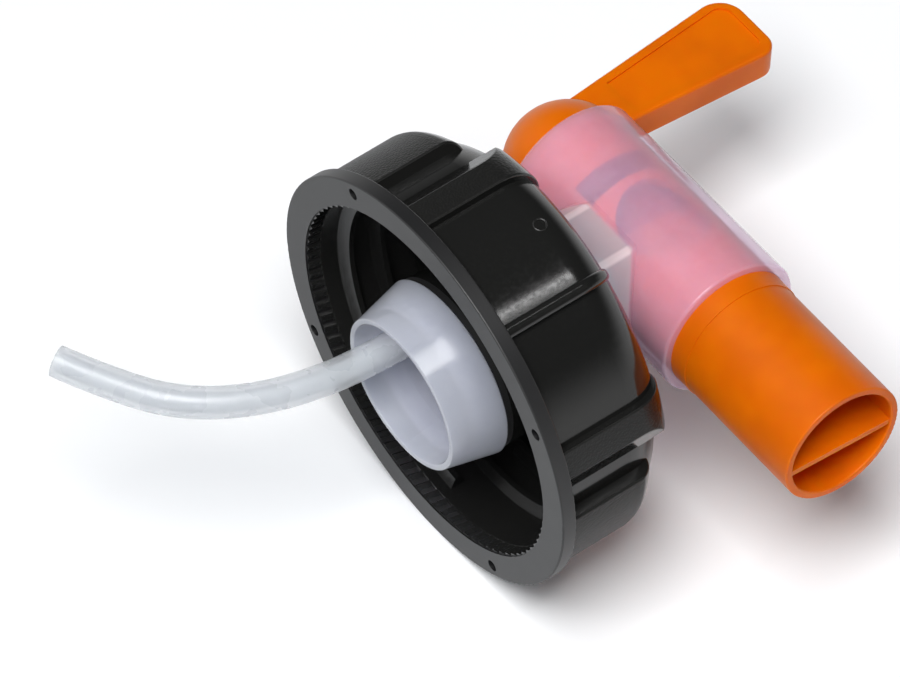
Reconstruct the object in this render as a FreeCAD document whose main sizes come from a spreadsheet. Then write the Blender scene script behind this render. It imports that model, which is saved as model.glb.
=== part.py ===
"""Canister tap: a swivelling quarter-turn tap on a 61 mm screw cap, with a bent air tube.

Millimetres. +Y points out of the cap's mouth, towards the canister. The valve's barrel stands along
Z, with the lever on top (+Z) and the spout below (-Z). The origin is the centre of the mouth plane.
"""

import FreeCAD, Part

import math
import os

import Sketcher
from FreeCAD import Placement, Rotation, Vector

SIZES = {
    "bore_radius": (30.4, "cap's bore between the threads and tips of the ratchet teeth"),
    "cap_wall": (3.1, "cap's wall between the grips"),
    "rim_overhang": (2.5, "how far the rim stands out from the wall"),
    "rim_thickness": (2.6, "rim, along the cap's axis"),
    "rim_edge_round": (0.25, "edges of the rim"),
    "cap_height": (24.0, "mouth plane to back face"),
    "cap_floor": (2.5, "thickness of the cap's back"),
    "floor_round": (2.0, "inner corner between wall and floor"),
    "cap_back_round": (7.0, "outer rounding of the back"),
    "waist_depth": (0.7, "wall round the wide pads, set in from the wall of the smooth panels"),
    "waist_back_round": (8.5, "outer rounding of the back round the wide pads"),
    "waist_span": (79.6, "angle of the wall that is set in, about each wide pad"),
    "grip_height": (1.5, "ridges, ribs and grip pads, above the wall"),
    "grip_root": (1.0, "how far ridges and ribs start inside the wall's surface"),
    "grip_edge_round": (0.35, "rounding of the long edges of ribs and pads"),
    "grip_turn": (213.5, "middle ridge, from +X towards +Z"),
    "ridge_span": (3.8, "angle of the narrow ridge"),
    "ridge_edge_round": (0.8, "rounding that makes the narrow ridge nearly half round"),
    "rib_near": (35.3, "steep side of a rib, from the ridge"),
    "rib_crest": (43.5, "where a rib starts to slope down, from the ridge"),
    "rib_foot": (50.6, "foot of that slope"),
    "rib_end": (49.8, "end of a rib's solid, under the slope"),
    "pad_span": (62.4, "angle of a wide grip pad"),
    "pad_offset": (90.0, "angle from the ridge to a pad"),
    "pad_length": (19.0, "mouth plane to the rounded end of a pad"),
    "pad_end_round": (3.5, "rounded end of a pad"),
    "grip_repeats": (2, "how often the grips repeat round the cap"),
    "tooth_height": (0.5, "teeth, towards the axis"),
    "mouth_lead": (0.3, "depth of the smooth lead-in"),
    "tooth_count": (90, "ratchet teeth round the mouth"),
    "tooth_depth": (2.3, "teeth, along the axis"),
    "tooth_slant": (3.0, "turn of a tooth over its depth"),
    "tooth_lean": (0.8, "part of a tooth's pitch on its long side"),
    "thread_height": (1.9, "thread ridge, towards the axis"),
    "thread_pitch": (6.0, "thread pitch"),
    "thread_turns": (2.0, "turns of thread"),
    "thread_start": (5.6, "first thread, below the mouth plane"),
    "thread_crest": (0.9, "width of the crest"),
    "thread_foot": (2.7, "width of the foot"),
    "thread_sink": (0.4, "how deep the foot is rooted in the wall"),
    "boss_wall": (1.95, "swivel boss in the cap"),
    "boss_depth": (6.2, "top of the boss, below the mouth plane"),
    "pit_inset": (2.1, "pits' centres, from the edge of the rim"),
    "pit_radius": (1.0, "pit"),
    "pit_depth": (1.2, "pit"),
    "pit_turn": (60.8, "first pit, from +X towards +Z"),
    "pit_count": (4, "pits"),
    "journal_radius": (13.0, "neck where the cap turns on it"),
    "swivel_clearance": (0.05, "radial gap between neck and boss"),
    "shoulder_radius": (16.0, "flange of the neck behind the cap"),
    "shoulder_thickness": (2.0, "that flange"),
    "shoulder_gap": (0.3, "gap between the cap's back and the flange"),
    "washer_thickness": (1.0, "sealing washer on the boss"),
    "collar_gap": (0.2, "gap between washer and snap skirt"),
    "collar_foot_radius": (15.4, "free edge of the conical snap skirt"),
    "collar_mouth_radius": (13.3, "inlet rim, outside"),
    "collar_reach": (4.3, "inlet rim, in front of the mouth plane"),
    "collar_wall": (0.9, "thickness of rim and skirt"),
    "collar_cone": (7.0, "depth of the inlet's inner cone"),
    "collar_edge_round": (0.25, "edges of the inlet rim and of the skirt"),
    "skirt_root": (3.8, "skirt joins the neck this far behind the rim"),
    "gasket_thickness": (2.0, "canister gasket"),
    "gasket_inner_radius": (22.0, "canister gasket"),
    "gasket_clearance": (0.2, "gap between gasket and thread crest"),
    "barrel_distance": (43.6, "barrel axis behind the mouth plane"),
    "barrel_foot_radius": (12.54, "outside of the barrel at its lower end"),
    "barrel_top_radius": (12.33, "outside of the barrel at its upper end"),
    "barrel_foot": (20.35, "lower end, below the neck's axis"),
    "barrel_top": (20.6, "upper end, above the neck's axis"),
    "barrel_edge_round": (0.5, "rounding of the barrel's ends"),
    "neck_radius": (12.1, "round sides of the neck"),
    "neck_flat": (10.7, "flat sides of the neck, from its axis"),
    "neck_edge_round": (1.0, "edges of the flats"),
    "neck_wall": (1.6, "wall of the neck at the swivel"),
    "partition": (1.5, "wall across the neck behind its wide inlet"),
    "port_radius": (7.4, "liquid port and plug window"),
    "port_drop": (3.0, "port's centre, below the neck's axis"),
    "duct_radius": (1.6, "air duct"),
    "duct_height": (8.15, "air duct's centre, above the neck's axis"),
    "socket_fit": (0.03, "radial gap between air tube and socket"),
    "socket_wall": (1.1, "wall of the tube socket"),
    "socket_length": (12.8, "socket, from the partition"),
    "socket_seat": (8.0, "length of tube in the socket"),
    "plug_radius": (11.0, "plug in the barrel"),
    "plug_clearance": (0.05, "radial gap between plug and barrel"),
    "plug_turn": (5.0, "lever's turn away from the neck's line"),
    "plug_shoulder": (20.3, "upper end of the bearing surface"),
    "snap_height": (18.8, "middle of the snap bead"),
    "snap_rise": (0.45, "bead, above the plug's surface"),
    "snap_crest": (0.6, "width of the bead's crest"),
    "snap_slope": (0.6, "length of the bead's flanks"),
    "spout_radius": (10.85, "spout below the barrel"),
    "spout_step": (23.7, "fine step, below the neck's axis"),
    "spout_mouth": (49.2, "end of the spout, below the neck's axis"),
    "spout_bore_radius": (9.55, "inside of plug and spout"),
    "spout_edge_round": (0.3, "edges of the spout's end"),
    "septum_face": (0.6, "liquid side of the dividing wall, from the axis"),
    "septum_thickness": (1.0, "dividing wall"),
    "septum_root": (0.4, "how far the dividing wall runs into the round wall"),
    "liquid_top": (4.6, "upper end of the liquid channel"),
    "air_top": (19.0, "upper end of the air channel"),
    "slot_low": (6.1, "lower edge of the air slot"),
    "slot_high": (10.5, "upper edge of the air slot"),
    "slot_half_width": (7.0, "half the air slot's width"),
    "dome_radius": (10.45, "round head of the plug"),
    "dome_centre": (20.88, "centre of the head's sphere"),
    "lever_thickness": (5.5, "lever"),
    "lever_root": (2.0, "where the lever starts, from the axis"),
    "lever_reach": (41.4, "end of the lever, from the axis"),
    "lever_top_root": (29.7, "upper edge at the root"),
    "lever_top_tip": (35.0, "upper edge at the end, before rounding"),
    "lever_low_root": (21.3, "lower edge at the root"),
    "lever_low_tip": (20.3, "lower edge at the end, before rounding"),
    "lever_top_round": (4.4, "upper corner of the end"),
    "lever_low_round": (3.0, "lower corner of the end"),
    "lever_edge_round": (0.5, "long edges"),
    "panel_start": (14.0, "sunk panel, from the axis"),
    "panel_margin": (1.7, "frame left round the panel"),
    "panel_depth": (0.4, "sunk panel"),
    "panel_tip_round": (2.4, "upper outer corner of the panel"),
    "panel_round": (2.0, "corners of the panel"),
    "tube_radius": (2.6, "air tube, outside"),
    "tube_wall": (1.0, "air tube"),
}

TUBE_BENDS = [
    (0.0, -8.2, 8.15),
    (-1.2, 3.2, 7.7),
    (-1.05, 13.05, 8.9),
    (-1.55, 24.0, 12.1),
    (-2.25, 33.65, 18.45),
    (-3.4, 40.2, 27.6),
    (-4.35, 44.2, 35.1),
]


class Measure:
    """A length that carries its number and the sheet formula that gives it."""

    def __init__(self, number, formula):
        self.number = float(number)
        self.formula = formula

    def __add__(self, other):
        other = as_measure(other)
        return Measure(self.number + other.number, f"({self.formula} + {other.formula})")

    def __radd__(self, other):
        return as_measure(other) + self

    def __sub__(self, other):
        other = as_measure(other)
        return Measure(self.number - other.number, f"({self.formula} - {other.formula})")

    def __rsub__(self, other):
        return as_measure(other) - self

    def __mul__(self, other):
        other = as_measure(other)
        return Measure(self.number * other.number, f"({self.formula} * {other.formula})")

    def __truediv__(self, other):
        other = as_measure(other)
        return Measure(self.number / other.number, f"({self.formula} / {other.formula})")

    def __neg__(self):
        return Measure(-self.number, f"(-1 * {self.formula})")


def as_measure(value):
    """A plain number becomes a measure; a measure stays as it is."""
    if isinstance(value, Measure):
        return value
    return Measure(value, str(value))


def make_sheet(doc):
    """Writes the driving dimensions into the document's spreadsheet."""
    sheet = doc.addObject("Spreadsheet::Sheet", "Sizes")
    for row, (name, (value, note)) in enumerate(SIZES.items(), start=1):
        sheet.set(f"A{row}", name)
        sheet.set(f"B{row}", str(value))
        sheet.setAlias(f"B{row}", name)
        sheet.set(f"C{row}", note)
    return sheet


def size(name):
    """The driving dimension of that name."""
    return Measure(SIZES[name][0], f"Sizes.{name}")


def cap_wall_radius():
    """Outside of the cap's wall."""
    return size("bore_radius") + size("cap_wall")


def boss_bore_radius():
    """Bore of the swivel boss and of the washer on it."""
    return size("journal_radius") + size("swivel_clearance")


def boss_radius():
    """Outside of the swivel boss."""
    return boss_bore_radius() + size("boss_wall")


def bind(thing, name, measure):
    """Ties a property to the sheet."""
    thing.setExpression(name, as_measure(measure).formula)


def make_body(doc, label):
    """An empty body whose label names its file."""
    body = doc.addObject("PartDesign::Body", label)
    body.Label = label
    return body


def make_sketch(body, name, role, offset=0.0, turn=None):
    """A sketch on one of the body's origin planes, moved along its normal or turned about its own Y."""
    sketch = body.newObject("Sketcher::SketchObject", name)
    plane = next(item for item in body.Origin.OriginFeatures if item.Role == role)
    sketch.AttachmentSupport = [(plane, "")]
    sketch.MapMode = "FlatFace"
    if turn is not None:
        sketch.AttachmentOffset = Placement(Vector(), Rotation(Vector(0, 1, 0), turn.number))
        bind(sketch, "AttachmentOffset.Rotation.Angle", turn)
    else:
        sketch.AttachmentOffset = Placement(Vector(0, 0, as_measure(offset).number), Rotation())
        bind(sketch, "AttachmentOffset.Base.z", offset)
    return sketch


def pin_point(sketch, curve, end, x, y):
    """Fixes one end of a curve at a place given by two measures."""
    for axis, kind, value in ((-2, "DistanceX", x), (-1, "DistanceY", y)):
        if value.number == 0:
            sketch.addConstraint(Sketcher.Constraint("PointOnObject", curve, end, axis))
        else:
            index = sketch.addConstraint(Sketcher.Constraint(kind, -1, 1, curve, end, value.number))
            bind(sketch, f"Constraints[{index}]", value)


def draw_outline(sketch, points, rounds=None):
    """Closes an outline through the points.

    rounds gives, by the number of its first point, the radius of a run that is an arc instead of a
    straight line: positive where the arc's centre lies on the left of the run.
    """
    rounds = rounds or {}
    points = [(as_measure(x), as_measure(y)) for x, y in points]
    ends = []
    for index, (x, y) in enumerate(points):
        next_x, next_y = points[(index + 1) % len(points)]
        start = Vector(x.number, y.number, 0)
        stop = Vector(next_x.number, next_y.number, 0)
        if index in rounds:
            curve = add_arc(sketch, start, stop, rounds[index])
            ends.append((curve, 1, 2) if rounds[index].number > 0 else (curve, 2, 1))
        else:
            curve = sketch.addGeometry(Part.LineSegment(start, stop), False)
            ends.append((curve, 1, 2))
    for index, (x, y) in enumerate(points):
        curve, first, _ = ends[index]
        before, _, last = ends[index - 1]
        sketch.addConstraint(Sketcher.Constraint("Coincident", before, last, curve, first))
        pin_point(sketch, curve, first, x, y)


def add_arc(sketch, start, stop, radius):
    """Adds the shorter arc between two points, with its radius tied to the sheet."""
    bulge = abs(radius.number)
    run = stop.sub(start)
    middle = start.add(run * 0.5)
    rise = math.sqrt(max(bulge**2 - (run.Length / 2) ** 2, 0.0))
    side = Vector(-run.y, run.x, 0).normalize() * math.copysign(rise, radius.number)
    centre = middle.add(side)
    first, last = (start, stop) if radius.number > 0 else (stop, start)
    angles = [math.atan2(end.y - centre.y, end.x - centre.x) for end in (first, last)]
    circle = Part.Circle(centre, Vector(0, 0, 1), bulge)
    curve = sketch.addGeometry(Part.ArcOfCircle(circle, angles[0], angles[1]), False)
    index = sketch.addConstraint(Sketcher.Constraint("Radius", curve, bulge))
    bind(sketch, f"Constraints[{index}]", radius if radius.number > 0 else -radius)
    return curve


def draw_circle(sketch, x, y, radius):
    """Draws a circle at a measured place."""
    x, y = as_measure(x), as_measure(y)
    circle = Part.Circle(Vector(x.number, y.number, 0), Vector(0, 0, 1), radius.number)
    curve = sketch.addGeometry(circle, False)
    pin_point(sketch, curve, 3, x, y)
    index = sketch.addConstraint(Sketcher.Constraint("Radius", curve, radius.number))
    bind(sketch, f"Constraints[{index}]", radius)


def draw_rectangle(sketch, low_x, low_y, high_x, high_y):
    """Draws a rectangle between two measured corners."""
    draw_outline(sketch, [(low_x, low_y), (high_x, low_y), (high_x, high_y), (low_x, high_y)])


def revolve(body, sketch, kind="Revolution", span=None):
    """Turns a profile about the sketch's own Y, all the way or as a sector centred on the sketch."""
    feature = body.newObject(f"PartDesign::{kind}", f"{sketch.Name}_{kind.lower()}")
    feature.Profile = sketch
    feature.ReferenceAxis = (sketch, ["V_Axis"])
    if span is None:
        feature.Angle = 360
    else:
        feature.Midplane = True
        bind(feature, "Angle", span)
    return feature


def extrude(body, sketch, kind, length, against=False, both=False):
    """Pads or pockets a sketch; against turns the direction round, both centres it on the sketch."""
    feature = body.newObject(f"PartDesign::{kind}", f"{sketch.Name}_{kind.lower()}")
    feature.Profile = sketch
    feature.Reversed = against
    if both:
        feature.SideType = "Symmetric"
    bind(feature, "Length", length)
    return feature


def round_edges(body, name, base, radius, wanted):
    """Rounds the edges of the base feature that the test picks."""
    body.Document.recompute()
    picked = [f"Edge{index}" for index, edge in enumerate(base.Shape.Edges, start=1) if wanted(edge)]
    if not picked:
        raise RuntimeError(f"{name}: no edge to round")
    feature = body.newObject("PartDesign::Fillet", name)
    feature.Base = (base, picked)
    bind(feature, "Radius", radius)
    return feature


def is_circle_at(edge, radius, axis, place=None):
    """True for a round edge of that radius, and at that place along an axis if one is given."""
    if edge.Degenerated or not isinstance(edge.Curve, Part.Circle):
        return False
    if abs(edge.Curve.Radius - radius.number) > 0.02:
        return False
    return place is None or abs(edge.Curve.Center[axis] - place.number) < 0.02


def is_line_along(edge, axis, length=1.0):
    """True for a straight edge along one axis, at least that long."""
    if edge.Degenerated or not isinstance(edge.Curve, Part.Line) or edge.Length < length:
        return False
    return abs(abs(edge.tangentAt(edge.FirstParameter)[axis]) - 1) < 1e-6


def draw_bar(sketch):
    """The section of a ridge or rib: from inside the wall to its surface, rounded like the cap's back."""
    wall = cap_wall_radius()
    outer = wall + size("grip_height")
    back = -size("cap_height")
    front = size("mouth_lead") - size("rim_thickness")
    bend = size("cap_back_round")
    inner = wall - bend
    sink = size("grip_root")
    root = wall - sink
    points = [(inner, back), (outer - bend, back), (outer, back + bend), (outer, front), (root, front)]
    points += [(root, back + bend), (inner, back + sink)]
    draw_outline(sketch, points, {1: bend, 5: sink - bend})


def draw_pad(sketch):
    """The section of a wide pad, which ends in a small rounding short of the cap's back."""
    outer = cap_wall_radius() + size("grip_height")
    front = size("mouth_lead") - size("rim_thickness")
    end = -size("pad_length")
    bend = size("pad_end_round")
    points = [(outer - bend, end), (outer, end + bend), (outer, front), (outer - bend, front)]
    draw_outline(sketch, points, {0: bend})


def cut_waist(body):
    """Sets the wall in round the wide pads."""
    wall = cap_wall_radius()
    waist = wall - size("waist_depth")
    outside = wall + size("rim_overhang")
    front = -size("rim_thickness")
    back = -size("cap_height")
    past = back - size("cap_floor")
    bend = size("waist_back_round")
    sketch = make_sketch(body, "waist", "XY_Plane", turn=-(size("grip_turn") + size("pad_offset")))
    points = [(waist - bend, back), (waist, back + bend), (waist, front), (outside, front), (outside, past)]
    draw_outline(sketch, points + [(waist - bend, past)], {0: bend})
    groove = revolve(body, sketch, "Groove", span=size("waist_span"))
    repeat_round(body, "waists_round", size("grip_repeats"), groove)


def build_cap_shell(doc):
    """The cap's round shell with its rim, pits and swivel boss, before grips, teeth and thread."""
    body = make_body(doc, "cap_shell")
    back = -size("cap_height")
    floor = back + size("cap_floor")
    bore = size("bore_radius")
    wall = cap_wall_radius()
    rim = wall + size("rim_overhang")
    bend = size("cap_back_round")
    mouth = bore + size("tooth_height")
    lead = -size("mouth_lead")
    boss_top = -size("boss_depth")
    shell = make_sketch(body, "shell", "XY_Plane")
    draw_outline(
        shell,
        [
            (boss_bore_radius(), back),
            (wall - bend, back),
            (wall, back + bend),
            (wall, -size("rim_thickness")),
            (rim, -size("rim_thickness")),
            (rim, 0),
            (mouth, 0),
            (mouth, lead),
            (bore, lead),
            (bore, floor + size("floor_round")),
            (bore - size("floor_round"), floor),
            (boss_radius(), floor),
            (boss_radius(), boss_top),
            (boss_bore_radius(), boss_top),
        ],
        {1: bend, 9: -size("floor_round")},
    )
    turned = revolve(body, shell)
    round_edges(body, "rim_edges", turned, size("rim_edge_round"), lambda edge: is_circle_at(edge, rim, 1))
    turn = math.radians(size("pit_turn").number)
    circle = rim - size("pit_inset")
    pit_sketch = make_sketch(body, "pit", "XZ_Plane")
    draw_circle(pit_sketch, circle * math.cos(turn), circle * math.sin(turn), size("pit_radius"))
    pit = extrude(body, pit_sketch, "Pocket", size("pit_depth"), against=True)
    ring = repeat_round(body, "pits_round", size("pit_count"), pit)
    doc.recompute()
    if ring.Shape.Volume >= turned.Shape.Volume:
        raise RuntimeError("the pits cut nothing")
    cut_waist(body)
    return body


def repeat_round(body, name, count, feature=None):
    """Repeats a feature, or the whole body if none is given, evenly about the body's Y."""
    body.Document.recompute()
    ring = body.newObject("PartDesign::PolarPattern", name)
    if feature is None:
        ring.TransformMode = "Whole shape"
    else:
        ring.Originals = [feature]
    ring.Axis = (next(item for item in body.Origin.OriginFeatures if item.Role == "Y_Axis"), [""])
    ring.Angle = 360
    bind(ring, "Occurrences", count)
    body.Tip = ring
    return ring


def build_grip(doc, name, offset, span, draw=draw_bar, rounding="grip_edge_round"):
    """One kind of grip, as often as it comes round the cap, with its long edges rounded."""
    body = make_body(doc, name)
    body.AllowCompound = True
    sketch = make_sketch(body, f"{name}_section", "XY_Plane", turn=-(size("grip_turn") + offset))
    draw(sketch)
    bar = revolve(body, sketch, span=span)
    round_edges(body, f"{name}_edges", bar, size(rounding), is_grip_edge)
    repeat_round(body, f"{name}_round", size("grip_repeats"))
    return body


def build_slope_cutter(doc, name, side):
    """What is cut away above a rib's slope on one side of each ridge, from the rim to the cap's back."""
    body = make_body(doc, name)
    body.AllowCompound = True
    wall = cap_wall_radius()
    outside = wall + size("rim_overhang")
    crest, foot = size("rib_crest"), size("rib_foot")
    corners = [(wall + size("grip_height"), crest), (wall - size("waist_depth"), foot)]
    corners += [(outside, foot), (outside, crest)]
    points = []
    for radius, angle in corners:
        turn = math.radians(size("grip_turn").number + side * angle.number)
        points.append((radius * math.cos(turn), radius * math.sin(turn)))
    sketch = make_sketch(body, f"{name}_section", "XZ_Plane", offset=size("rim_thickness"))
    draw_outline(sketch, points)
    extrude(body, sketch, "Pad", size("cap_height"))
    repeat_round(body, f"{name}_round", size("grip_repeats"))
    return body


def build_gripped(doc):
    """The cap's shell with all its grips, the ribs sloping down towards the wide pads."""
    rib_span = size("rib_end") - size("rib_near")
    rib_middle = (size("rib_end") + size("rib_near")) / 2
    gripped = doc.addObject("Part::MultiFuse", "gripped_cap")
    gripped.Shapes = [
        build_cap_shell(doc),
        build_grip(doc, "ridge", 0, size("ridge_span"), rounding="ridge_edge_round"),
        build_grip(doc, "rib_before", -rib_middle, rib_span),
        build_grip(doc, "rib_after", rib_middle, rib_span),
        build_grip(doc, "grip_pad", size("pad_offset"), size("pad_span"), draw=draw_pad),
    ]
    slopes = doc.addObject("Part::MultiFuse", "slope_cutters")
    slopes.Shapes = [build_slope_cutter(doc, "slope_before", -1), build_slope_cutter(doc, "slope_after", 1)]
    sloped = doc.addObject("Part::Cut", "sloped_cap")
    sloped.Base = gripped
    sloped.Tool = slopes
    return sloped


def is_grip_edge(edge):
    """True for a grip's long outer edges."""
    if not is_line_along(edge, 1):
        return False
    place = edge.valueAt(edge.FirstParameter)
    outer = cap_wall_radius() + size("grip_height")
    return abs(math.hypot(place.x, place.z) - outer.number) < 0.01


def tooth_wire(sheet, place, turn):
    """One outline of the toothed mouth: a long flank, then a short one, for each tooth."""
    tip = sheet.get("bore_radius")
    root = tip + sheet.get("tooth_height")
    count = int(sheet.get("tooth_count"))
    pitch = 2 * math.pi / count
    points = []
    for index in range(count):
        angle = index * pitch + turn
        for radius, step in ((root, 0.0), (tip, sheet.get("tooth_lean") * pitch)):
            points.append(Vector(radius * math.cos(angle + step), place, radius * math.sin(angle + step)))
    return Part.makePolygon(points + points[:1])


def build_tooth_cutter(doc, sheet):
    """The space between the ratchet teeth, slanted like them."""
    start = -sheet.get("mouth_lead")
    slant = math.radians(sheet.get("tooth_slant"))
    wires = [tooth_wire(sheet, start, 0.0), tooth_wire(sheet, start - sheet.get("tooth_depth"), slant)]
    cutter = doc.addObject("Part::Feature", "tooth_space")
    cutter.Shape = Part.makeLoft(wires, True, True)
    cutter.Placement = Placement()
    return cutter


def build_thread(doc, sheet):
    """The cap's thread: one ridge swept along a helix, rooted a little in the wall."""
    bore = sheet.get("bore_radius")
    pitch = sheet.get("thread_pitch")
    rise = pitch * sheet.get("thread_turns")
    start = sheet.get("thread_start")
    foot, crest = sheet.get("thread_foot") / 2, sheet.get("thread_crest") / 2
    outer = bore + sheet.get("thread_sink")
    slope = (foot - crest) / sheet.get("thread_height")
    wide = foot + slope * sheet.get("thread_sink")
    inner = bore - sheet.get("thread_height")
    path = Part.makeHelix(pitch, rise, bore)
    corners = [Vector(outer, 0, -wide), Vector(outer, 0, wide)]
    corners += [Vector(inner, 0, crest), Vector(inner, 0, -crest)]
    profile = Part.makePolygon(corners + corners[:1])
    ridge = Part.Wire(path.Edges).makePipeShell([profile], True, True)
    thread = doc.addObject("Part::Feature", "thread_ridge")
    thread.Shape = ridge
    thread.Placement = Placement(Vector(0, -start - rise, 0), Rotation(Vector(1, 0, 0), -90))
    return thread


def build_cap(doc, sheet):
    """The finished screw cap."""
    toothed = doc.addObject("Part::Cut", "toothed_cap")
    toothed.Base = build_gripped(doc)
    toothed.Tool = build_tooth_cutter(doc, sheet)
    cap = doc.addObject("Part::Fuse", "screw_cap")
    cap.Base = toothed
    cap.Tool = build_thread(doc, sheet)
    cap.Placement = Placement()
    return cap


def build_ring(doc, label, inner, outer, low, high):
    """A flat ring about the cap's axis."""
    body = make_body(doc, label)
    sketch = make_sketch(body, f"{label}_section", "XY_Plane")
    draw_rectangle(sketch, inner, low, outer, high)
    revolve(body, sketch)
    return body


def build_gasket(doc):
    """The canister gasket, flat on the cap's floor and inside the thread."""
    floor = size("cap_floor") - size("cap_height")
    crest = size("bore_radius") - size("thread_height")
    outer = crest - size("gasket_clearance")
    top = floor + size("gasket_thickness")
    return build_ring(doc, "canister_gasket", size("gasket_inner_radius"), outer, floor, top)


def build_washer(doc):
    """The sealing washer between the swivel boss and the snap skirt."""
    low = -size("boss_depth")
    top = low + size("washer_thickness")
    return build_ring(doc, "swivel_washer", boss_bore_radius(), boss_radius(), low, top)


def build_tap_body(doc):
    """Barrel, neck, snap collar and air-tube socket: one moulding, seen from the barrel's axis."""
    body = make_body(doc, "tap_body")
    axis = size("barrel_distance")
    shoulder_front = axis - size("cap_height") - size("shoulder_gap")
    shoulder_back = shoulder_front - size("shoulder_thickness")
    journal = size("journal_radius")
    rim = axis + size("collar_reach")
    skirt = axis - size("boss_depth") + size("washer_thickness") + size("collar_gap")
    rim_inner = size("collar_mouth_radius") - size("collar_wall")
    inlet = journal - size("neck_wall")
    partition = shoulder_back + size("partition")
    neck = make_sketch(body, "neck", "XY_Plane")
    draw_outline(
        neck,
        [
            (0, 0),
            (size("neck_radius"), 0),
            (size("neck_radius"), shoulder_back),
            (size("shoulder_radius"), shoulder_back),
            (size("shoulder_radius"), shoulder_front),
            (journal, shoulder_front),
            (journal, rim - size("skirt_root")),
            (size("collar_foot_radius") - size("collar_wall"), skirt),
            (size("collar_foot_radius"), skirt),
            (size("collar_mouth_radius"), rim),
            (rim_inner, rim),
            (inlet, rim - size("collar_cone")),
            (inlet, partition),
            (0, partition),
        ],
    )
    turned = revolve(body, neck)
    rims = ((size("collar_mouth_radius"), rim), (rim_inner, rim), (size("collar_foot_radius"), skirt))
    round_edges(
        body,
        "collar_edges",
        turned,
        size("collar_edge_round"),
        lambda edge: any(is_circle_at(edge, radius, 1, place) for radius, place in rims),
    )
    beyond = size("shoulder_radius")
    for name, side in (("flat_a", 1), ("flat_b", -1)):
        flat = make_sketch(body, name, "YZ_Plane", offset=size("neck_flat") * side)
        draw_rectangle(flat, -size("neck_wall"), -beyond, shoulder_back, beyond)
        blank = extrude(body, flat, "Pocket", beyond, against=side > 0)
    round_edges(body, "neck_edges", blank, size("neck_edge_round"), is_neck_edge)
    barrel = make_sketch(body, "barrel", "XZ_Plane")
    foot, top = -size("barrel_foot"), size("barrel_top")
    draw_outline(
        barrel,
        [(0, foot), (size("barrel_foot_radius"), foot), (size("barrel_top_radius"), top), (0, top)],
    )
    whole = revolve(body, barrel)
    ends = (("barrel_foot_radius", foot), ("barrel_top_radius", top))
    round_edges(
        body,
        "barrel_edges",
        whole,
        size("barrel_edge_round"),
        lambda edge: any(is_circle_at(edge, size(name), 2, place) for name, place in ends),
    )
    bore = make_sketch(body, "bore", "XZ_Plane")
    draw_bearing(bore, size("plug_clearance"), foot - size("neck_wall"), top + size("neck_wall"))
    revolve(body, bore, kind="Groove")
    port = make_sketch(body, "port", "XZ_Plane")
    draw_circle(port, 0, -size("port_drop"), size("port_radius"))
    extrude(body, port, "Pocket", partition + size("neck_wall"))
    tube_seat = size("tube_radius") + size("socket_fit")
    socket = make_sketch(body, "socket", "XZ_Plane", offset=-(partition - size("partition")))
    draw_circle(socket, 0, size("duct_height"), tube_seat + size("socket_wall"))
    extrude(body, socket, "Pad", size("socket_length") + size("partition"), against=True)
    socket_top = partition + size("socket_length")
    seat = make_sketch(body, "seat", "XZ_Plane", offset=-(socket_top - size("socket_seat")))
    draw_circle(seat, 0, size("duct_height"), tube_seat)
    extrude(body, seat, "Pocket", size("socket_seat") + size("collar_reach"))
    duct = make_sketch(body, "duct", "XZ_Plane")
    draw_circle(duct, 0, size("duct_height"), size("duct_radius"))
    extrude(body, duct, "Pocket", socket_top)
    body.Placement = Placement(Vector(0, -axis.number, 0), Rotation())
    bind(body, "Placement.Base.y", -axis)
    return body


def is_neck_edge(edge):
    """True for the four long edges where the neck's flats meet its round sides."""
    if not is_line_along(edge, 1):
        return False
    place = edge.valueAt(edge.FirstParameter)
    flat = size("neck_flat").number
    return abs(abs(place.x) - flat) < 0.01 and math.hypot(place.x, place.z) > flat + 0.1


def draw_bearing(sketch, gap, low, high):
    """The round space of plug and snap bead, larger than the plug by the gap."""
    plain = size("plug_radius") + gap
    crest = plain + size("snap_rise")
    half = size("snap_crest") / 2
    middle = size("snap_height")
    slope = size("snap_slope")
    points = [(0, low), (plain, low), (plain, middle - half - slope), (crest, middle - half)]
    points += [(crest, middle + half), (plain, middle + half + slope), (plain, high), (0, high)]
    draw_outline(sketch, points)


def lever_edge(start, stop, along):
    """Height of a straight lever edge at a distance from the plug's axis."""
    run = size("lever_reach") - size("lever_root")
    return start + (stop - start) * (along - size("lever_root")) / run


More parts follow.
